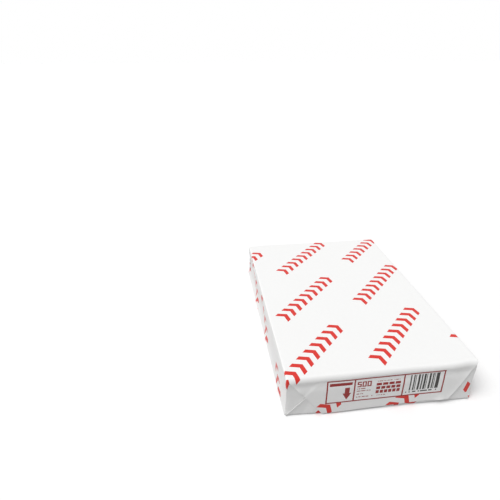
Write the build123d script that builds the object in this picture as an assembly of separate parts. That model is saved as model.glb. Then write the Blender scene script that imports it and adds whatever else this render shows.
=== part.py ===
"""A sealed ream of A4 copier paper, as one solid, in millimetres.

A ream is a block of loose sheets in one wrapper sheet. The wrapper goes round the block
as a tube, and its lap seam runs along the underside. At each end the two sides of the
tube are tucked in first, then a lower flap is folded up, and last a closing flap is
folded down over both and glued. Nothing inside can be seen or reached, so block and
wrapper are one closed solid with the true outer form: rolled edges, mitred end flaps in
relief, one on the other, and the step of the lap seam.

Frame: the origin is at the centre of the underside, +Z is up, and the sheets' length is
along Y. The front end, which carries the label, faces -Y.
"""

from build123d import *
from math import radians, tan
import os

# The block of sheets.
SHEET_WIDTH = 210.0
SHEET_LENGTH = 297.0
SHEET_COUNT = 500
SHEET_THICKNESS = 0.105

# The wrapper, and the air between it and the block.
WRAPPER_THICKNESS = 0.12
SIDE_SLACK = 0.4
END_SLACK = 0.3
TOP_SLACK = 0.2

# Outside radii of the rolled edges.
LONG_EDGE_RADIUS = 1.6  # the four edges along Y
UPRIGHT_EDGE_RADIUS = 1.6  # the four edges along Z
END_EDGE_RADIUS = 3.5  # the four edges along X, where the flaps roll over

# End folds. Each pair is for the side at -X and the side at +X: the flaps are a little askew.
FLAP_RISE = 2 * WRAPPER_THICKNESS  # a flap is doubled along its mitres
LOWER_FLAP_REACH = 41.0  # from the underside up to the lower flap's cut edge
LOWER_MITRES = (39.0, 37.0)  # degrees between a mitred side and the upright
CLOSING_MITRES = (38.4, 31.0)
FRONT_CLOSING_GAPS = (1.4, 5.2)  # from the closing flap's cut edge down to the underside
BACK_CLOSING_GAPS = (3.6, 2.2)

# The lap seam. The outer bottom panel comes in from the +X side and ends at this line.
LAP_EDGE_X = -14.0

WIDTH = SHEET_WIDTH + 2 * (SIDE_SLACK + WRAPPER_THICKNESS)
TUCKED_LENGTH = SHEET_LENGTH + 2 * (END_SLACK + WRAPPER_THICKNESS)
HEIGHT = SHEET_COUNT * SHEET_THICKNESS + TOP_SLACK + 2 * WRAPPER_THICKNESS

FRONT, BACK = -1, 1


def rolled_block(length, floor):
    """A block from floor to the top, every edge rolled, its corners mitred as paper folds."""
    tall = HEIGHT - floor
    section = extrude(Plane.XZ * RectangleRounded(WIDTH, tall, LONG_EDGE_RADIUS), length / 2, both=True)
    side = extrude(Plane.YZ * RectangleRounded(length, tall, END_EDGE_RADIUS), WIDTH / 2, both=True)
    plan = extrude(Plane.XY * RectangleRounded(WIDTH, length, UPRIGHT_EDGE_RADIUS), tall / 2, both=True)
    return Pos(0, 0, floor + tall / 2) * (section & side & plan)


def tube(length):
    """The wrapped block with the lap seam below: the inner panel's face is one sheet higher."""
    inner_panel = rolled_block(length, WRAPPER_THICKNESS)
    beyond_lap = Pos(LAP_EDGE_X, 0, 0) * Box(
        WIDTH, 2 * length, 3 * HEIGHT, align=(Align.MIN, Align.CENTER, Align.CENTER)
    )
    return inner_panel + (rolled_block(length, 0) & beyond_lap)


def flap(outline, end, layers):
    """One end flap: the tube made longer by its layers, kept only inside the flap's outline.

    The outline is in XZ, and the flap starts where the edge begins to roll over. The
    longer tube brings its own roll, so the flap runs on from the top or the underside.
    """
    length = TUCKED_LENGTH + 2 * layers * FLAP_RISE
    roll_start = Plane.XZ.offset(-end * (TUCKED_LENGTH / 2 - END_EDGE_RADIUS))
    slab = extrude(roll_start * make_face(Polyline(*outline, close=True)), -end * length)
    return tube(length) & slab


def lower_flap(end):
    """Folded up from the underside: a trapezoid that narrows upwards from the corners."""
    left, right = (LOWER_FLAP_REACH * tan(radians(mitre)) for mitre in LOWER_MITRES)
    outline = [
        (-WIDTH / 2, 0),
        (WIDTH / 2, 0),
        (WIDTH / 2 - right, LOWER_FLAP_REACH),
        (-WIDTH / 2 + left, LOWER_FLAP_REACH),
    ]
    return flap(outline, end, layers=1)


def closing_flap(end, gaps):
    """Folded down from the top over the lower flap, its cut edge just above the underside."""
    left_gap, right_gap = gaps
    left = (HEIGHT - left_gap) * tan(radians(CLOSING_MITRES[0]))
    right = (HEIGHT - right_gap) * tan(radians(CLOSING_MITRES[1]))
    outline = [
        (-WIDTH / 2, HEIGHT),
        (-WIDTH / 2 + left, left_gap),
        (WIDTH / 2 - right, right_gap),
        (WIDTH / 2, HEIGHT),
    ]
    return flap(outline, end, layers=2)


def wrapped_ream():
    """The tube with both flaps at both ends, fused into one solid."""
    ream = tube(TUCKED_LENGTH)  # its ends are the tucked sides
    for end, gaps in ((FRONT, FRONT_CLOSING_GAPS), (BACK, BACK_CLOSING_GAPS)):
        ream = ream + lower_flap(end) + closing_flap(end, gaps)
    return ream.clean()


os.makedirs("parts", exist_ok=True)
ream = wrapped_ream()
export_step(ream, "parts/wrapped_ream.step")
box = ream.bounding_box()
print(f"wrapped_ream: {box.size.X:.2f} x {box.size.Y:.2f} x {box.size.Z:.2f} mm, {ream.volume / 1000:.1f} cm3")
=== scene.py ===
# %% [markdown]
# # A sealed ream of copier paper
#
# A ream is 500 sheets in one printed wrapper. The wrapper is a single sheet: it goes round
# the block as a tube, its lap seam lies below, and each end is closed by two tucked sides,
# a lower flap folded up and a closing flap folded down and glued.
#
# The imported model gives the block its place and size. This script dresses it: it works out
# the folded sheet as surfaces in numpy, and prints and labels that sheet with a node
# material that is drawn on the sheet as it was before folding.

import bmesh
import bpy
import numpy as np
from mathutils import Matrix, Vector


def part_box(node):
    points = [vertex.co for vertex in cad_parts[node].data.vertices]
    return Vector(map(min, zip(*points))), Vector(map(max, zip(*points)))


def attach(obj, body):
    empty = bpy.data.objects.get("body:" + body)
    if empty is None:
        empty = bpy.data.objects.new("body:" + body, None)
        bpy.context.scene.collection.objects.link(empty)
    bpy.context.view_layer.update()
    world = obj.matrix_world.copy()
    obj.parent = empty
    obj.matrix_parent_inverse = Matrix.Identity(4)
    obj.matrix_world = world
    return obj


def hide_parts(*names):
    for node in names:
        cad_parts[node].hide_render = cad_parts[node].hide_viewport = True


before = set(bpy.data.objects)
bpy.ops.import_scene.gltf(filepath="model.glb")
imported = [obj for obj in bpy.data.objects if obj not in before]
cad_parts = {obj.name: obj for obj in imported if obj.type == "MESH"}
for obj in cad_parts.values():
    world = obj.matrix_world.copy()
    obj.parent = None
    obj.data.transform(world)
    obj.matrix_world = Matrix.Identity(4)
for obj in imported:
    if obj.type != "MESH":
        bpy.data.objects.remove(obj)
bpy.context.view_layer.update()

# %% [markdown]
# ## The camera
#
# The camera comes first, so that every piece is judged in the view it will be seen in. It
# stands above and to the left of the labelled end, and looks past the pack's left side.
# It could be turned by Euler angles, but a look-at built from an azimuth and an elevation
# says plainly where it stands.

# %% Place the camera
AZIMUTH = np.radians(-7.58)
ELEVATION = np.radians(27.98)
ROLL = np.radians(0.15)
LOOK_AT = Vector((-0.0984, 0.1860, 0.0250))
DISTANCE = 0.7153
LENS = 29.21
SENSOR = 36.0


def camera_turn(azimuth, elevation, roll):
    """The camera's axes as the columns of a turn: right, up, and back towards the viewer."""
    back = Vector((
        np.sin(azimuth) * np.cos(elevation),
        -np.cos(azimuth) * np.cos(elevation),
        np.sin(elevation),
    ))
    right = Vector((np.cos(azimuth), np.sin(azimuth), 0))
    up = back.cross(right)
    tilted = right * np.cos(roll) + up * np.sin(roll)
    return Matrix((tilted, back.cross(tilted), back)).transposed()


turn = camera_turn(AZIMUTH, ELEVATION, ROLL)
camera = bpy.data.objects.new("Camera", bpy.data.cameras.new("Camera"))
camera.data.lens = LENS
camera.data.sensor_width = SENSOR
camera.data.clip_start = 0.01
camera.matrix_world = Matrix.Translation(LOOK_AT + turn.col[2] * DISTANCE) @ turn.to_4x4()
bpy.context.scene.collection.objects.link(camera)
bpy.context.scene.camera = camera
print("camera at", [round(x, 4) for x in camera.location])

# %% [markdown]
# ## The sizes of the folded sheet
#
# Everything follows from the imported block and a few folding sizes. A rolled edge is given
# by two sizes, how far it reaches along the sheet's length and how far down, because a
# flap that is pulled over an edge makes a fuller roll than a crease does.

# %% Sizes
MM = 0.001
LOW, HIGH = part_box("wrapped_ream")
HALF_WIDTH = (HIGH.x - LOW.x) / 2
HEIGHT = HIGH.z
SHEET = 0.12 * MM
FLAP_RISE = 2 * SHEET
TUCKED = HIGH.y - 2 * FLAP_RISE

LONG_ROLL = 1.6 * MM
UPRIGHT_ROLL = 1.6 * MM
TOP_ROLL_OUT = 4.0 * MM
TOP_ROLL_DOWN = 6.0 * MM
BASE_ROLL_OUT = 2.4 * MM
BASE_ROLL_UP = 3.4 * MM
LAP_X = -14 * MM

LOWER_REACH = 41 * MM
LOWER_MITRES = (39.0, 37.0)
CLOSING_MITRES = (38.4, 31.0)
FRONT_GAPS = (1.4 * MM, 6.4 * MM)
BACK_GAPS = (3.6 * MM, 2.2 * MM)
FRONT, BACK = -1, 1
print(f"block {2000 * HALF_WIDTH:.1f} x {2000 * HIGH.y:.1f} x {1000 * HEIGHT:.1f} mm")

# %% [markdown]
# ## Grids into meshes
#
# Each surface is a function of two parameters, so it arrives as a grid of points with a
# grid of print coordinates beside it. One helper turns such grids into one mesh. The
# print coordinates are metres on the unfolded sheet, and they are stored for each face
# corner, so two grids can meet in space and still be apart on the sheet.

# %% A mesh from grids


def quads(rows, columns):
    """Corner numbers of the cells of a grid: each cell joins two neighbours in two rows."""
    first = np.arange(rows * columns).reshape(rows, columns)
    corners = (first[:-1, :-1], first[:-1, 1:], first[1:, 1:], first[1:, :-1])
    return np.stack(corners, -1).reshape(-1, 4)


def mesh_of(name, grids):
    """One object from several (points, sheet, bake) grids, welded where they touch.

    Points are rows x columns x 3. Sheet and bake are rows x columns x 2: where a point
    lies on the unfolded sheet, and where on the square that the finish is baked to.
    """
    points, faces, sheet, bake = [], [], [], []
    for place, on_sheet, on_bake in grids:
        cells = quads(*place.shape[:2])
        faces.append(cells + sum(len(p) for p in points))
        points.append(place.reshape(-1, 3))
        sheet.append(on_sheet.reshape(-1, 2)[cells.ravel()])
        bake.append(on_bake.reshape(-1, 2)[cells.ravel()])
    mesh = bpy.data.meshes.new(name)
    mesh.from_pydata(np.concatenate(points), [], np.concatenate(faces))
    for layer, values in (("Sheet", sheet), ("OFBake", bake)):
        uv = mesh.uv_layers.new(name=layer)
        uv.uv.foreach_set("vector", np.concatenate(values).astype(np.float32).ravel())
    mesh.uv_layers["Sheet"].active = True
    mesh.uv_layers["Sheet"].active_render = True
    weld(mesh)
    piece = bpy.data.objects.new(name, mesh)
    bpy.context.scene.collection.objects.link(piece)
    return piece


def weld(mesh):
    """Merges points that coincide and shades the faces smoothly. The grids set which way they face."""
    form = bmesh.new()
    form.from_mesh(mesh)
    bmesh.ops.remove_doubles(form, verts=form.verts, dist=2e-6)
    for face in form.faces:
        face.smooth = True
    form.to_mesh(mesh)
    form.free()


# %% [markdown]
# ## How paper is never flat
#
# A wrapper that is pulled round a block keeps long soft waves, and handling leaves short
# creases. Waves are a sum of sines in random directions from a fixed seed. A crease is a
# ridge along a straight line that falls away on both sides. Both are heights over the
# unfolded sheet, so they cross an edge as real ones do.

# %% Waves and creases


def smooth_step(x, low, high):
    """0 below low, 1 above high, and an S curve between them."""
    share = np.clip((x - low) / (high - low), 0, 1)
    return share * share * (3 - 2 * share)


def waves(x, y, length, height, seed, count=14):
    """A sum of sines whose wavelengths lie about length, scaled to about height each way."""
    random = np.random.default_rng(seed)
    total = np.zeros(np.broadcast(x, y).shape)
    for _ in range(count):
        heading = random.uniform(0, 2 * np.pi)
        pitch = length * random.uniform(0.7, 1.6)
        phase = random.uniform(0, 2 * np.pi)
        total += np.sin(2 * np.pi * (x * np.cos(heading) + y * np.sin(heading)) / pitch + phase)
    return total * height / np.sqrt(2 * count)


def crease(x, y, start, end, height, width):
    """A ridge along the line from start to end: height at the line, falling off over width."""
    start, end = np.array(start), np.array(end)
    along = end - start
    share = ((x - start[0]) * along[0] + (y - start[1]) * along[1]) / (along @ along)
    share = np.clip(share, 0, 1)
    away = np.hypot(x - start[0] - share * along[0], y - start[1] - share * along[1])
    taper = np.sin(np.pi * np.clip(share, 0.02, 0.98)) ** 0.5
    return height * taper * np.exp(-(np.hypot(away, 0.3 * width) - 0.3 * width) / width)


# %% [markdown]
# The ends aren't flat either. The folded corners are thinner than the flaps, so they stand
# back, and below right the layers push the corner out again. Just under the top roll the
# end is hollow. All layers of an end share this shape, so that each lies on the one below.

# %% The shape of an end


def end_shape(x, z, end):
    """How far the end stands out from its flat plane at x, z (negative is set back)."""
    if end == BACK:
        x = -x
    z = np.clip(z, BASE_ROLL_UP, HEIGHT - TOP_ROLL_DOWN)
    up = (z - BASE_ROLL_UP) / (HEIGHT - TOP_ROLL_DOWN - BASE_ROLL_UP)
    left = smooth_step(-x, HALF_WIDTH - 34 * MM, HALF_WIDTH) * (0.3 + 1.1 * (1 - up)) * MM
    right = smooth_step(x, HALF_WIDTH - 32 * MM, HALF_WIDTH) * (2.7 * up - 0.3) * MM
    fuller = 0.9 * MM * smooth_step(x, 20 * MM, 74 * MM)
    leaning = 1.0 * MM * (1 - up) ** 2 * smooth_step(x, -HALF_WIDTH, -40 * MM)
    inside = smooth_step(HALF_WIDTH - np.abs(x), 0, 12 * MM)
    hollow = 0.75 * MM * inside * np.exp(-(((z - 0.78 * HEIGHT) / (5 * MM)) ** 2))
    return fuller + leaning - left - right - hollow


# %% [markdown]
# ## The tube and its tucked sides
#
# The tube's section is a rectangle with rolled corners, walked from the lap seam round the
# underside, up the left side, over the top and back. It could be a bevelled box, but then
# the print would have to be fitted to it: walking the section gives each point's place on
# the sheet at once. At the ends the section rolls inwards and closes. That closed end is
# the two tucked sides, which show as triangles beside the flaps.

# %% Walk round the section


def straight(start, end, step):
    """Points from start towards end, about step apart, without the last one."""
    start, end = np.array(start), np.array(end)
    count = max(1, round(np.linalg.norm(end - start) / step))
    return start + (end - start) * (np.arange(count) / count)[:, None]


def quarter(centre, radii, first_degrees, count=7):
    """A quarter turn clockwise: centre plus the radii times the cosine and sine of the angle."""
    angle = np.radians(first_degrees - 90 * np.arange(count) / count)
    return np.array(centre) + np.stack([np.cos(angle), np.sin(angle)], 1) * radii


def section():
    """The tube's outline in XZ, and each point's distance round it from the top's middle."""
    r, w, h = LONG_ROLL, HALF_WIDTH, HEIGHT
    outline = np.concatenate([
        straight((LAP_X, SHEET), (r - w, SHEET), 5 * MM),
        quarter((r - w, r), (r, r - SHEET), 270),
        straight((-w, r), (-w, h - r), 1.6 * MM),
        quarter((r - w, h - r), (r, r), 180),
        straight((r - w, h), (w - r, h), 2.6 * MM),
        quarter((w - r, h - r), (r, r), 90),
        straight((w, h - r), (w, r), 1.6 * MM),
        quarter((w - r, r), (r, r), 0),
        straight((w - r, 0), (LAP_X, 0), 5 * MM),
        [(LAP_X, 0)],
    ])
    walked = np.append(0, np.cumsum(np.linalg.norm(np.diff(outline, axis=0), axis=1)))
    top = np.isclose(outline[:, 1], h)
    middle = np.interp(0, outline[top, 0], walked[top])
    return outline, walked - middle


OUTLINE, ROUND = section()
TANGENT = np.gradient(OUTLINE, ROUND, axis=0)
NORMAL = np.stack([-TANGENT[:, 1], TANGENT[:, 0]], 1)
NORMAL /= np.linalg.norm(NORMAL, axis=1)[:, None]
ROUND_SAVED = (2 - np.pi / 2) * LONG_ROLL
print(len(OUTLINE), "points round the section,", f"{1000 * np.ptp(ROUND):.1f} mm of sheet")

# %% [markdown]
# The sides of a wrapped pack are its loosest panels. Towards the back the left one sinks
# between its edges, so light runs along it in a band. The top only breathes a little. The
# underside stays flat, because the pack's weight lies on it.

# %% The tube's surface


def side_sag(p, q):
    """How far each side panel sinks (negative) or swells at p round and q along the sheet."""
    down = np.clip((np.abs(p) - HALF_WIDTH) / HEIGHT, 0, 1)
    sunk = smooth_step(down, 0.10, 0.62) - smooth_step(down, 0.78, 1)
    left = -MM * (1.1 + 1.5 * smooth_step(q, -110 * MM, 60 * MM))
    right = -MM * (0.4 + 0.5 * smooth_step(-q, -80 * MM, 100 * MM))
    ripple = waves(p, q * 0.5, 30 * MM, 0.22 * MM, seed=5)
    return sunk * np.where(p < 0, left, right) + np.sin(np.pi * down) * ripple


def top_swell(p, q):
    """The top's slack: long waves that die out towards its four edges."""
    inside = smooth_step(HALF_WIDTH - np.abs(p), 0, 30 * MM)
    inside = inside * smooth_step(TUCKED - np.abs(q), 0, 25 * MM)
    return inside * (0.16 * MM + waves(p, q, 85 * MM, 0.12 * MM, seed=11))


HANDLING = (
    ((-109, -120), (-109, 70), -0.55, 1.3),
    ((-110, 50), (-112, 147), -0.80, 1.7),
    ((-125, 40), (-132, 142), -0.90, 2.6),
    ((-118, 96), (-141, 132), -0.30, 2.2),
    ((-108, 121), (-128, 143), 0.22, 1.8),
    ((-112, 58), (-146, 84), -0.16, 3.0),
    ((-116, -96), (-150, -120), 0.14, 2.5),
    ((114, 104), (142, 136), -0.22, 2.4),
    ((118, -84), (150, -118), 0.18, 2.6),
    ((-92, 128), (-60, 141), 0.10, 2.6),
    ((70, 132), (97, 118), 0.10, 2.6),
)


def tube_relief(p, q):
    """Everything that lifts or dents the tube, as a height over the unfolded sheet."""
    creases = sum(
        crease(p, q, np.array(a) * MM, np.array(b) * MM, h * MM, w * MM)
        for a, b, h, w in HANDLING
    )
    beneath = smooth_step(np.abs(p), HALF_WIDTH + HEIGHT - 6 * MM, HALF_WIDTH + HEIGHT)
    return (side_sag(p, q) + top_swell(p, q) + creases) * (1 - beneath)


def bake_round(p):
    """Where p goes on the bake's square: the top and sides get more room than the underside."""
    wide = HALF_WIDTH + HEIGHT
    edge = np.array([ROUND[0], -wide, wide, ROUND[-1] + SHEET])
    return np.interp(p, edge, [0.01, 0.12, 0.88, 0.99])


RINGS, ROLL_RINGS = 125, 12


def end_rolls():
    """Each outline point's share of the top roll and of the base roll.

    It is 1 on the panel and falls as a square over about two rolls down the side, so the
    corners of the pack are rounded both ways.
    """
    z = OUTLINE[:, 1]
    top = np.clip(1 - (HEIGHT - z) / (2.2 * TOP_ROLL_DOWN), 0, 1) ** 2
    base = np.clip(1 - (z - SHEET) / (2.2 * BASE_ROLL_UP), 0, 1) ** 2
    return top, base


def tube_grid():
    """The tube with its rolled ends. A ring is the section, drawn in and moved out by a roll.

    In the middle a ring's place is a share of the way to where the roll starts. In a roll
    of angle a it is drawn in by the roll's depth times 1 - cos a, and moved out by the
    roll's reach times sin a.
    """
    top, base = end_rolls()
    aside = (NORMAL[:, 0] ** 2) * np.sign(NORMAL[:, 0]) * UPRIGHT_ROLL
    down = top * TOP_ROLL_DOWN - base * BASE_ROLL_UP
    reach = UPRIGHT_ROLL + top * (TOP_ROLL_OUT - UPRIGHT_ROLL) + base * (BASE_ROLL_OUT - UPRIGHT_ROLL)
    share = np.linspace(-1, 1, RINGS)[:, None]
    angle = np.radians(np.linspace(0, 90, ROLL_RINGS + 1)[1:])[:, None]
    share = np.concatenate([-np.ones_like(angle), share, np.ones_like(angle)])
    angle = np.concatenate([angle[::-1], np.zeros((RINGS, 1)), angle])
    at_front = TUCKED + end_shape(OUTLINE[:, 0], OUTLINE[:, 1], FRONT)
    at_back = TUCKED + end_shape(OUTLINE[:, 0], OUTLINE[:, 1], BACK)
    end = np.where(share < 0, at_front, at_back)
    walked = angle * np.sqrt((reach**2 + down**2 + aside**2) / 2)
    q = share * (end - reach + walked)
    p = np.broadcast_to(ROUND, q.shape)
    lift = tube_relief(p, q)
    drawn = 1 - np.cos(angle)
    place = np.stack([
        OUTLINE[:, 0] - aside * drawn + NORMAL[:, 0] * lift * np.cos(angle),
        share * (end - reach + (reach + lift) * np.sin(angle)),
        OUTLINE[:, 1] - down * drawn + NORMAL[:, 1] * lift * np.cos(angle),
    ], -1)
    return place, np.stack([p, q], -1)


def closed_round(place, sheet):
    """Adds the first column again at the end: it is the lap's edge, one sheet thick."""
    last = sheet[:, -1:] + [SHEET, 0]
    return np.concatenate([place, place[:, :1]], 1), np.concatenate([sheet, last], 1)


# %% [markdown]
# The tube's last ring is filled by rings that shrink towards the end's middle. Their print
# is that of the side panels, carried on round the upright edge.

# %% The tucked sides


def tuck_relief(x, z, end):
    """Small hollows in the tucked sides near the upright edges, where nothing presses them."""
    open_part = smooth_step(np.abs(x), HALF_WIDTH - 34 * MM, HALF_WIDTH - 22 * MM)
    return open_part * waves(x, z, 26 * MM, 0.12 * MM, seed=20 + end) - 0.05 * MM


def tuck_grid(ring, end):
    """Rings that shrink from the tube's last ring to a point at the end's middle."""
    share = np.append(np.linspace(0, 0.46, 24), np.linspace(0.5, 1, 6))[:, None]
    x = ring[:, 0] * (1 - share)
    z = HEIGHT / 2 + (ring[:, 2] - HEIGHT / 2) * (1 - share)
    out = TUCKED + end_shape(x, z, end) + tuck_relief(x, z, end) * smooth_step(share, 0, 0.06)
    side = np.where(ring[:, 0] < 0, -1, 1)
    p = side * (HALF_WIDTH + HEIGHT - z - ROUND_SAVED)
    q = end * (TUCKED + HALF_WIDTH - np.abs(x) - (2 - np.pi / 2) * UPRIGHT_ROLL)
    y = np.where(share > 0, end * out, ring[:, 1])
    return np.stack([x, y, z], -1), np.stack([np.broadcast_to(p, x.shape), q], -1)


def tube():
    """The tube and the tucked sides at both ends, as one closed surface."""
    place, sheet = closed_round(*tube_grid())
    across = bake_round(sheet[..., 0])
    along = np.interp(sheet[..., 1], (-0.16, 0.16), (0.2, 0.8))
    grids = [(place, sheet, np.stack([across, along], -1))]
    for end, ring in ((FRONT, place[0]), (BACK, place[-1])):
        filled, printed = tuck_grid(ring, end)
        if end == FRONT:
            filled, printed = filled[::-1], printed[::-1]
        low = 0.02 if end == FRONT else 0.82
        baked = np.stack([
            0.5 + filled[..., 0] / (2.2 * HALF_WIDTH),
            low + 0.16 * filled[..., 2] / HEIGHT,
        ], -1)
        grids.append((filled, printed, baked))
    return mesh_of("wrapper_tube", grids)


wrapper_tube = tube()
print(wrapper_tube.name, len(wrapper_tube.data.polygons), "faces")

# %% [markdown]
# ## The flaps
#
# A flap runs on from a panel, rolls over the edge and lies on the end. It is doubled along
# its two mitred sides, where the paper turns back under itself, and it is cut along the
# last side. Each flap is one grid: the rows go along the panel, over the roll and down the
# end, and the columns go from mitre to mitre. Past each border the grid turns round a small
# half circle and runs back beneath, so a fold has a round edge and a lifted edge has a
# gap under it.

# %% Borders that turn under


FLAP_COLUMNS = 150
PANEL_ROWS, ROLL_ROWS, END_ROWS = 3, 13, 60
FLAP_ROWS = PANEL_ROWS + ROLL_ROWS + END_ROWS
ON_PANEL = 3 * MM
UNDER_FOLD = 7 * MM
UNDER_CUT = 5 * MM


def turned(radius, back, steps=5):
    """A sheet's border. Returns how far each point lies past the border, and how far it drops.

    It goes round a half circle (past = r sin a, drop = r (1 - cos a)) and then runs back
    beneath for the given distance.
    """
    angle = np.linspace(0, np.pi, steps + 1)[1:]
    under = np.linspace(0, back, 4)[1:]
    past = np.append(radius * np.sin(angle), -under)
    drop = np.append(radius * (1 - np.cos(angle)), np.full(3, 2 * radius))
    return past, drop


def between(first, last, count, crowd=0.75):
    """Numbers from first to last that lie closer together towards both ends."""
    share = np.linspace(0, 1, count)
    eased = (1 - np.cos(np.pi * share)) / 2
    return first + (last - first) * (crowd * eased + (1 - crowd) * share)


# %% One flap


def flap_grid(end, over_top, mitres, cut, relief, fold_radius=0.22 * MM):
    """A flap of one end, from the top panel or from the underside.

    The path of a column: 3 mm along the panel, a quarter of an ellipse over the edge, then
    straight across the end to the cut. The height of the cut runs from cut[0] at the left
    to cut[1] at the right. A border at height z is drawn in by the distance from the edge
    times the tangent of the mitre. relief(x, z) is how far the flap stands off the end.
    """
    out, down = (TOP_ROLL_OUT, TOP_ROLL_DOWN) if over_top else (BASE_ROLL_OUT, BASE_ROLL_UP)
    past, drop = turned(fold_radius, UNDER_FOLD)
    inner = between(0, 1, FLAP_COLUMNS)
    zero = np.zeros(len(inner))
    column = np.concatenate([np.zeros(len(past)), inner, np.ones(len(past))])
    shift = np.concatenate([-past[::-1], zero, past])
    column_drop = np.concatenate([drop[::-1], zero, drop])
    # Rows: run is the distance along the panel, angle the roll's, fall the share of the end.
    on_panel = np.linspace(-ON_PANEL, 0, PANEL_ROWS + 1)[:-1]
    rolling = np.radians(np.linspace(0, 90, ROLL_ROWS))
    run = np.concatenate([on_panel, np.zeros(ROLL_ROWS + END_ROWS)])
    angle = np.concatenate([np.zeros(PANEL_ROWS), rolling, np.full(END_ROWS, np.pi / 2)])
    fall = np.concatenate([np.zeros(PANEL_ROWS + ROLL_ROWS), between(0, 1, END_ROWS + 1)[1:]])
    edge_past, edge_drop = turned(SHEET / 2, UNDER_CUT, steps=4)
    run = np.concatenate([run, np.zeros(len(edge_past))])[:, None]
    angle = np.concatenate([angle, np.full(len(edge_past), np.pi / 2)])[:, None]
    fall = np.concatenate([fall, np.ones(len(edge_past))])[:, None]
    slip = np.concatenate([np.zeros(FLAP_ROWS), edge_past])[:, None]
    row_drop = np.concatenate([np.zeros(FLAP_ROWS), edge_drop])[:, None]
    # Depth is the distance from the panel, whether that is the top or the underside.
    cut_height = cut[0] + column * (cut[1] - cut[0])
    reach = HEIGHT - cut_height if over_top else cut_height
    depth = down * (1 - np.cos(angle)) + fall * (reach - down) + slip
    left = -HALF_WIDTH + np.maximum(LONG_ROLL, depth * np.tan(np.radians(mitres[0])))
    right = HALF_WIDTH - np.maximum(LONG_ROLL, depth * np.tan(np.radians(mitres[1])))
    x = left + (right - left) * column + shift
    z = HEIGHT - depth if over_top else depth
    start = TUCKED + end_shape(x, z, end) - out
    off = relief(x, z) * smooth_step(run + angle * out, -ON_PANEL, 1.4 * out)
    off = off + 0.01 * MM - np.maximum(column_drop, row_drop)
    flat, steep = np.cos(angle) / down, np.sin(angle) / out
    size = np.hypot(flat, steep)
    y = start + run + out * np.sin(angle) + off * steep / size
    z = z + (1 if over_top else -1) * off * flat / size
    walked = angle * np.sqrt((out**2 + down**2) / 2) + fall * (reach - down) + slip
    q = start + run + walked
    place = np.stack([x, end * y, np.maximum(z, 0)], -1)
    return place, x, end * q


def flap(name, end, over_top, mitres, cut, relief):
    """A flap as a mesh. The underside's panel continues the sheet past the tube's right side."""
    place, x, q = flap_grid(end, over_top, mitres, cut, relief)
    p = x if over_top else ROUND[-1] + LAP_X - x
    sheet = np.stack([np.broadcast_to(p, q.shape), q], -1)
    rows, columns = x.shape
    baked = np.stack(np.meshgrid(np.linspace(0.01, 0.99, columns), np.linspace(0.01, 0.99, rows)), -1)
    # Rows run away from the panel, so which way the columns run decides the side that faces out.
    if (end == FRONT) == over_top:
        place, sheet, baked = (grid[:, ::-1] for grid in (place, sheet, baked))
    return mesh_of(name, [(place, sheet, baked)])


# %% [markdown]
# The lower flap lies on the tucked sides. Its two mitres are the creases that run up from
# the bottom corners, and they stand a little proud, because a fold in coated paper never
# closes fully. The closing flap lies on that. It sinks just below the roll, swells towards
# the bottom where more layers lie under it, and shows the lower flap's edge through it.

# %% Relief of the flaps


def inside_mitre(x, z, side, slope, over_top):
    """The distance from a mitre into the flap: side is -1 at the left and 1 at the right."""
    depth = HEIGHT - z if over_top else z
    slope = np.radians(slope)
    return (HALF_WIDTH - side * x) * np.cos(slope) - depth * np.sin(slope)


def lift_along(x, z, side, slope, over_top, height, width):
    """A lift that is highest at a mitre and falls off into the flap over width."""
    inside = inside_mitre(x, z, side, slope, over_top)
    return height * np.exp(-np.maximum(inside, 0) / width)


def lower_relief(x, z):
    """One fold off the tucked sides, with sprung mitres and a soft dent in the left corner."""
    showing = smooth_step(LOWER_REACH - z, 12 * MM, 18 * MM)
    left = showing * lift_along(x, z, -1, LOWER_MITRES[0], False, 0.9 * MM, 2.2 * MM)
    right = lift_along(x, z, 1, LOWER_MITRES[1], False, 0.35 * MM, 3.0 * MM)
    dent = crease(x, z, (-0.079, 0.022), (-0.086, 0.002), -0.35 * MM, 2.5 * MM)
    ripple = waves(x, z, 26 * MM, 0.05 * MM, seed=31)
    return FLAP_RISE + left + right + dent + ripple


def over_lower_flap(x, z):
    """1 where the closing flap lies on the lower one, and a soft ramp at its edges."""
    left = smooth_step(inside_mitre(x, z, -1, LOWER_MITRES[0], False), -4 * MM, 0)
    right = smooth_step(inside_mitre(x, z, 1, LOWER_MITRES[1], False), -4 * MM, 0)
    return left * right * smooth_step(LOWER_REACH - z, -4 * MM, 0)


def closing_relief(x, z, seed):
    """It rides on the lower flap, swells towards its foot, and ripples between."""
    ridge = 0.12 * lift_along(x, z, -1, LOWER_MITRES[0], False, 0.8 * MM, 3 * MM)
    beneath = over_lower_flap(x, z) * (1.5 * FLAP_RISE + ridge)
    swell = 0.5 * MM * smooth_step(-z, -0.74 * HEIGHT, -1 * MM)
    ripple = 0.12 * MM + waves(x, z * 1.5, 40 * MM, 0.12 * MM, seed=seed)
    return beneath + FLAP_RISE + swell + np.maximum(ripple, 0)


def front_closing_relief(x, z):
    """The front flap gapes along its upper left fold, and curls up at its right foot."""
    gape = 1.5 * MM * np.exp(-(((z - 37 * MM) / (8 * MM)) ** 2))
    left = lift_along(x, z, -1, CLOSING_MITRES[0], True, 1, 1.8 * MM) * gape
    right = lift_along(x, z, 1, CLOSING_MITRES[1], True, 1.3 * MM, 7 * MM)
    beside = np.exp(-(((x - 68 * MM) / (6 * MM)) ** 2))
    curl = 1.2 * MM * beside * np.exp(-np.maximum(z - 6 * MM, 0) / (3 * MM))
    return closing_relief(x, z, 41) + left + right + curl


def back_closing_relief(x, z):
    """The back flap is glued down all along."""
    left = lift_along(x, z, -1, CLOSING_MITRES[0], True, 0.4 * MM, 5 * MM)
    right = lift_along(x, z, 1, CLOSING_MITRES[1], True, 0.5 * MM, 5 * MM)
    return closing_relief(x, z, 47) + left + right


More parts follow.
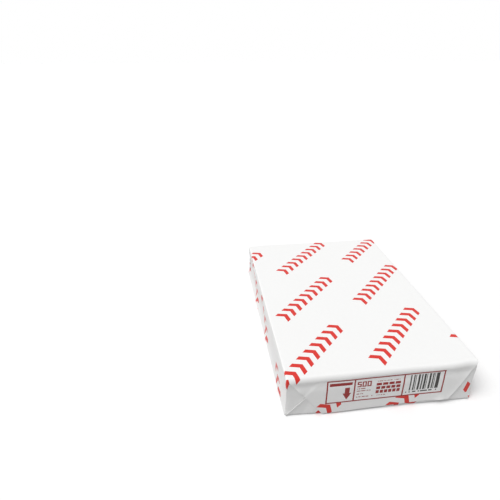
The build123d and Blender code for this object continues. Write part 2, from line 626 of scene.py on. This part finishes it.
# %% Make the four flaps
FLAPS = (
    ("front_lower_flap", FRONT, False, LOWER_MITRES, (LOWER_REACH, LOWER_REACH), lower_relief),
    ("front_closing_flap", FRONT, True, CLOSING_MITRES, FRONT_GAPS, front_closing_relief),
    ("back_lower_flap", BACK, False, LOWER_MITRES, (LOWER_REACH, LOWER_REACH), lower_relief),
    ("back_closing_flap", BACK, True, CLOSING_MITRES, BACK_GAPS, back_closing_relief),
)
flaps = {row[0]: flap(*row) for row in FLAPS}
for piece in flaps.values():
    print(piece.name, len(piece.data.polygons), "faces")

# %% [markdown]
# ## The finish
#
# The wrapper is white coated paper with one red ink on it. The print is drawn by Math
# nodes on the Sheet coordinates, so it runs over edges and flaps as it does on a sheet
# that was printed flat and folded afterwards. An image would do too, but a formula stays
# crisp at any distance.

# %% A short way to write Math nodes


class Formula:
    """Writes Math nodes into a material as nested calls that return sockets."""

    def __init__(self, tree):
        self.tree = tree

    def node(self, kind, **settings):
        """A new node with its properties set."""
        made = self.tree.nodes.new(kind)
        for name, value in settings.items():
            setattr(made, name, value)
        return made

    def set(self, socket, value):
        """Links a socket to another, or gives it a number or a colour."""
        if isinstance(value, bpy.types.NodeSocket):
            self.tree.links.new(value, socket)
        else:
            socket.default_value = value

    def math(self, operation, *values):
        """One Math node on up to three values."""
        made = self.node("ShaderNodeMath", operation=operation)
        for socket, value in zip(made.inputs, values):
            self.set(socket, value)
        return made.outputs[0]

    def near(self, value, centre, half):
        """1 where value is within half of centre."""
        return self.math("COMPARE", value, centre, half)

    def both(self, *masks):
        """1 where every mask is 1."""
        result = masks[0]
        for mask in masks[1:]:
            result = self.math("MULTIPLY", result, mask)
        return result

    def either(self, *masks):
        """1 where any mask is 1."""
        result = masks[0]
        for mask in masks[1:]:
            result = self.math("MAXIMUM", result, mask)
        return result

    def without(self, mask, hole):
        """mask where hole is 0."""
        return self.math("MULTIPLY", mask, self.math("SUBTRACT", 1.0, hole))

    def bar(self, x, z, centre, size):
        """1 inside an upright rectangle; centre and size are pairs in metres."""
        across = self.near(x, centre[0], size[0] / 2)
        return self.both(across, self.near(z, centre[1], size[1] / 2))


# %% [markdown]
# The print is rows of chevrons at 45 degrees to the sheet. Across a row, the distance
# from its middle line tells the row's number and the place in it. Along a row, the
# distance is shifted back by a share of the distance from the middle line, which bends
# upright strokes into chevrons.

# %% The chevron print
ROW_PITCH = 60.5 * MM
REPEAT = 181 * MM
MOTIF = 123 * MM
CHEVRONS = 9
CAP = 19 * MM
STROKE = 6.1 * MM
SLANT = 0.62
PRINT_SHIFT = (31.5 * MM, 31.5 * MM)


def chevrons(f, u, v):
    """1 on the ink of the pattern, at u across and v along the sheet."""
    half = np.sqrt(0.5)
    along = f.math("MULTIPLY", f.math("ADD", u, v), half)
    across = f.math("MULTIPLY", f.math("SUBTRACT", v, u), half)
    across = f.math("ADD", across, PRINT_SHIFT[1])
    row = f.math("FLOOR", f.math("ADD", f.math("DIVIDE", across, ROW_PITCH), 0.5))
    from_middle = f.math("ABSOLUTE", f.math("SUBTRACT", across, f.math("MULTIPLY", row, ROW_PITCH)))
    along = f.math("ADD", along, f.math("MULTIPLY", row, REPEAT / 2))
    along = f.math("ADD", along, PRINT_SHIFT[0])
    along = f.math("FLOORED_MODULO", along, REPEAT)
    bent = f.math("SUBTRACT", along, (REPEAT - MOTIF) / 2)
    bent = f.math("ADD", bent, f.math("MULTIPLY", from_middle, SLANT))
    stroke = f.math("LESS_THAN", f.math("FLOORED_MODULO", bent, MOTIF / CHEVRONS), STROKE)
    on_motif = f.near(bent, MOTIF / 2, MOTIF / 2)
    return f.both(stroke, on_motif, f.math("LESS_THAN", from_middle, CAP / 2))


# %% The paper


def wrapper_material(name, label=None):
    """White coated paper with the chevron print, and a label where one is given."""
    material = bpy.data.materials.new(name)
    material.use_nodes = True
    f = Formula(material.node_tree)
    shader = material.node_tree.nodes["Principled BSDF"]
    place = f.node("ShaderNodeUVMap", uv_map="Sheet").outputs[0]
    parts = f.node("ShaderNodeSeparateXYZ")
    f.set(parts.inputs[0], place)
    u, v = parts.outputs[0], parts.outputs[1]

    mottle = f.node("ShaderNodeTexNoise")
    f.set(mottle.inputs["Vector"], place)
    f.set(mottle.inputs["Scale"], 240.0)
    f.set(mottle.inputs["Detail"], 3.0)

    ink = chevrons(f, u, v)
    dark = None
    if label:
        ground, red, black = label(f, u, v)
        ink = f.without(ink, ground)
        dark = (red, black)

    colour = mixed(f, PAPER, PAPER_DIM, mottle.outputs[0])
    colour = mixed(f, colour, RED_INK, ink)
    if dark:
        colour = mixed(f, colour, LABEL_INK, dark[0])
        colour = mixed(f, colour, BLACK_INK, dark[1])
        ink = f.either(ink, *dark)
    f.set(shader.inputs["Base Color"], colour)
    gloss = f.math("MULTIPLY_ADD", mottle.outputs[0], 0.10, 0.42)
    f.set(shader.inputs["Roughness"], f.math("MULTIPLY_ADD", ink, -0.08, gloss))
    shader.inputs["Specular IOR Level"].default_value = 0.35

    fibre = f.node("ShaderNodeTexNoise")
    f.set(fibre.inputs["Vector"], place)
    f.set(fibre.inputs["Scale"], 900.0)
    f.set(fibre.inputs["Detail"], 4.0)
    bump = f.node("ShaderNodeBump")
    f.set(bump.inputs["Strength"], 0.12)
    f.set(bump.inputs["Distance"], 0.05 * MM)
    f.set(bump.inputs["Height"], fibre.outputs[0])
    f.set(shader.inputs["Normal"], bump.outputs[0])
    return material


def mixed(f, first, second, share):
    """first where share is 0 and second where it is 1, as colours."""
    mix = f.node("ShaderNodeMix", data_type="RGBA")
    f.set(mix.inputs[0], share)
    f.set(mix.inputs[6], first)
    f.set(mix.inputs[7], second)
    return mix.outputs[2]


PAPER = (0.905, 0.905, 0.900, 1)
PAPER_DIM = (0.880, 0.880, 0.874, 1)
RED_INK = (0.68, 0.030, 0.020, 1)
LABEL_INK = (0.30, 0.018, 0.016, 1)
BLACK_INK = (0.03, 0.027, 0.026, 1)

# %% [markdown]
# ## The label
#
# The label is part of the print, on the front closing flap. Its ground stays white, so it
# leaves the chevrons out. It has a frame with three cells: handling marks, the sheet
# count with lines of small type, and a bar code. All lettering is left as plain bars,
# apart from the count.

# %% Numerals from windows


def numeral(f, x, z, centre, size, stroke, windows):
    """A squared numeral: a solid block less an upper and a lower window.

    Each window says whether it is open to the left and to the right. A 5 is open to the
    right above and to the left below. A 0 has one tall window, written as "tall".
    """
    block = f.bar(x, z, centre, size)
    inner = size[0] - 2 * stroke
    if windows == "tall":
        return f.without(block, f.bar(x, z, centre, (inner, size[1] - 2 * stroke)))
    high = (size[1] - 3 * stroke) / 2
    for level, (left, right) in zip((1, -1), windows):
        wide = inner + stroke * (left + right)
        at = (centre[0] + stroke * (right - left) / 2, centre[1] + level * (high + stroke) / 2)
        block = f.without(block, f.bar(x, z, at, (wide, high)))
    return block


def type_line(f, x, z, left, middle, length, height, step, seed):
    """A line of small type as dashes: some steps along the line are left blank."""
    step_number = f.math("FLOOR", f.math("DIVIDE", f.math("SUBTRACT", x, left), step))
    chance = f.node("ShaderNodeTexWhiteNoise", noise_dimensions="1D")
    f.set(chance.inputs["W"], f.math("ADD", step_number, float(seed)))
    inked = f.math("GREATER_THAN", chance.outputs[0], 0.28)
    return f.both(f.bar(x, z, (left + length / 2, middle), (length, height)), inked)


def bold_line(f, x, z, sides, heights, letters):
    """A line of bold type as plain blocks: so many equal blocks with narrow gaps."""
    pitch = (sides[1] - sides[0]) / letters
    middle = ((sides[0] + sides[1]) / 2, (heights[0] + heights[1]) / 2)
    line = f.bar(x, z, middle, (sides[1] - sides[0], heights[1] - heights[0]))
    place = f.math("FLOORED_MODULO", f.math("SUBTRACT", x, sides[0]), pitch)
    return f.both(line, f.math("LESS_THAN", place, pitch - 1.1 * MM))


# %% The label's print
LABEL_LEFT, LABEL_RIGHT = -61.7 * MM, 67.4 * MM
LABEL_LOW, LABEL_TOP = 15.2 * MM, 45.4 * MM
LINE = 1.6 * MM
CELLS = (-32.0 * MM, 22.6 * MM)


def label_print(f, u, v):
    """The label at u across and v along the sheet: its ground, its red ink and its black."""
    roll = np.pi / 2 * np.sqrt((TOP_ROLL_OUT**2 + TOP_ROLL_DOWN**2) / 2)
    x = u
    z = f.math("ADD", v, TUCKED - TOP_ROLL_OUT + roll + HEIGHT - TOP_ROLL_DOWN)
    middle = ((LABEL_LEFT + LABEL_RIGHT) / 2, (LABEL_LOW + LABEL_TOP) / 2)
    size = (LABEL_RIGHT - LABEL_LEFT, LABEL_TOP - LABEL_LOW)
    ground = f.bar(x, z, middle, (size[0] + LINE, size[1] + LINE))
    inside = f.bar(x, z, middle, (size[0] - LINE, size[1] - LINE))
    red = [f.without(ground, inside)]
    red += [f.bar(x, z, (cell, middle[1]), (LINE, size[1])) for cell in CELLS]
    red += handling_cell(f, x, z)
    red += count_cell(f, x, z)
    black = code_cell(f, x, z)
    return ground, f.either(*red), black


def handling_cell(f, x, z):
    """A heading bar, and an arrow: a shaft, and a head that narrows to its tip."""
    heading = f.bar(x, z, (-47 * MM, 40.6 * MM), (24.5 * MM, 4.0 * MM))
    shaft = f.bar(x, z, (-39.8 * MM, 30.6 * MM), (5.2 * MM, 9.2 * MM))
    tip, top = 18.2 * MM, 27.4 * MM
    half = f.math("MULTIPLY", f.math("SUBTRACT", z, tip), 0.53)
    aside = f.math("ABSOLUTE", f.math("SUBTRACT", x, -39.8 * MM))
    head = f.both(f.math("LESS_THAN", aside, half), f.math("LESS_THAN", z, top))
    return [heading, shaft, head]


def count_cell(f, x, z):
    """The number 500, four lines of small type, and three lines of bold type."""
    five, nought = ((0, 1), (1, 0)), "tall"
    shapes = zip((-26.8, -21.4, -16.0), (five, nought, nought))
    marks = [
        numeral(f, x, z, (at * MM, 37.9 * MM), (4.6 * MM, 7.6 * MM), 1.45 * MM, shape)
        for at, shape in shapes
    ]
    small = ((31.6, 9.0), (28.4, 15.0), (24.2, 8.0), (20.0, 18.0))
    for number, (height, length) in enumerate(small):
        marks.append(type_line(f, x, z, -29 * MM, height * MM, length * MM, 1.1 * MM, 0.8 * MM, 7 * number))
    for letters, (low, high) in zip((4, 5, 6), ((33.8, 37.4), (28.5, 32.4), (22.8, 27.2))):
        marks.append(bold_line(f, x, z, (-8 * MM, 20 * MM), (low * MM, high * MM), letters))
    marks.append(type_line(f, x, z, -7 * MM, 40 * MM, 26 * MM, 1.0 * MM, 0.8 * MM, 90))
    marks.append(type_line(f, x, z, -7 * MM, 20 * MM, 13 * MM, 1.0 * MM, 0.8 * MM, 97))
    return marks


def code_cell(f, x, z):
    """A bar code: bars of chance widths, with a row of dashes for its digits."""
    number = f.math("FLOOR", f.math("DIVIDE", x, 0.72 * MM))
    chance = f.node("ShaderNodeTexWhiteNoise", noise_dimensions="1D")
    f.set(chance.inputs["W"], f.math("ADD", number, 311.0))
    bars = f.math("GREATER_THAN", chance.outputs[0], 0.40)
    area = f.bar(x, z, (45.6 * MM, 32.8 * MM), (33.0 * MM, 22.0 * MM))
    digits = type_line(f, x, z, 26 * MM, 19.6 * MM, 37 * MM, 1.7 * MM, 1.3 * MM, 120)
    return f.either(f.both(area, bars), digits)


# %% Finish the pieces
plain_wrapper = wrapper_material("printed_wrapper")
label_wrapper = wrapper_material("printed_wrapper_with_label", label_print)
for piece in (wrapper_tube, *flaps.values()):
    labelled = piece.name == "front_closing_flap"
    piece.data.materials.append(label_wrapper if labelled else plain_wrapper)
    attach(piece, "root")
    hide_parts("wrapped_ream")

# %% [markdown]
# ## Floor and light
#
# A pale floor catches the pack's shadow. To the camera it is as white as the world behind
# it, and to everything else it is a mid grey, so it doesn't throw too much light up the
# pack's sides. A broad sun from the upper left gives the top, the left side and the front
# their three tones, and a nearly even world fills the rest.

# %% The floor


def floor_material():
    """Diffuse, with one colour for camera rays and a darker one for the light it returns."""
    material = bpy.data.materials.new("pale_floor")
    material.use_nodes = True
    f = Formula(material.node_tree)
    shader = material.node_tree.nodes["Principled BSDF"]
    path = f.node("ShaderNodeLightPath").outputs
    seen = f.either(path["Is Camera Ray"], path["Is Glossy Ray"], path["Is Transmission Ray"])
    f.set(shader.inputs["Base Color"], mixed(f, (0.34, 0.34, 0.34, 1), (0.98, 0.98, 0.98, 1), seen))
    shader.inputs["Roughness"].default_value = 1.0
    shader.inputs["Specular IOR Level"].default_value = 0.0
    return material


FLOOR_HALF = 6.0
corners = [(x * FLOOR_HALF, y * FLOOR_HALF, 0) for x, y in ((-1, -1), (1, -1), (1, 1), (-1, 1))]
floor_mesh = bpy.data.meshes.new("floor")
floor_mesh.from_pydata(corners, [], [(0, 1, 2, 3)])
floor = bpy.data.objects.new("floor", floor_mesh)
floor.data.materials.append(floor_material())
bpy.context.scene.collection.objects.link(floor)

# %% The light
world = bpy.data.worlds.new("studio")
bpy.context.scene.world = world
world.use_nodes = True
sky = Formula(world.node_tree)
background = world.node_tree.nodes["Background"]
path = sky.node("ShaderNodeLightPath").outputs
seen = sky.either(path["Is Camera Ray"], path["Is Glossy Ray"], path["Is Transmission Ray"])
direction = sky.node("ShaderNodeSeparateXYZ")
sky.set(direction.inputs[0], sky.node("ShaderNodeTexCoord").outputs["Generated"])
even = sky.math("MULTIPLY_ADD", direction.outputs[0], -0.08, 0.51)
strength = sky.node("ShaderNodeMix", data_type="FLOAT")
sky.set(strength.inputs[0], seen)
sky.set(strength.inputs[2], even)
sky.set(strength.inputs[3], 1.0)
sky.set(background.inputs["Strength"], strength.outputs[0])
background.inputs["Color"].default_value = (1, 1, 1, 1)

SUN_FROM = Vector((-0.46, -0.20, 0.86))
sun = bpy.data.objects.new("sun", bpy.data.lights.new("sun", "SUN"))
sun.data.energy = 2.0
sun.data.angle = np.radians(35)
sun.rotation_euler = SUN_FROM.to_track_quat("Z", "Y").to_euler()
bpy.context.scene.collection.objects.link(sun)
bpy.context.scene.view_settings.view_transform = "Standard"
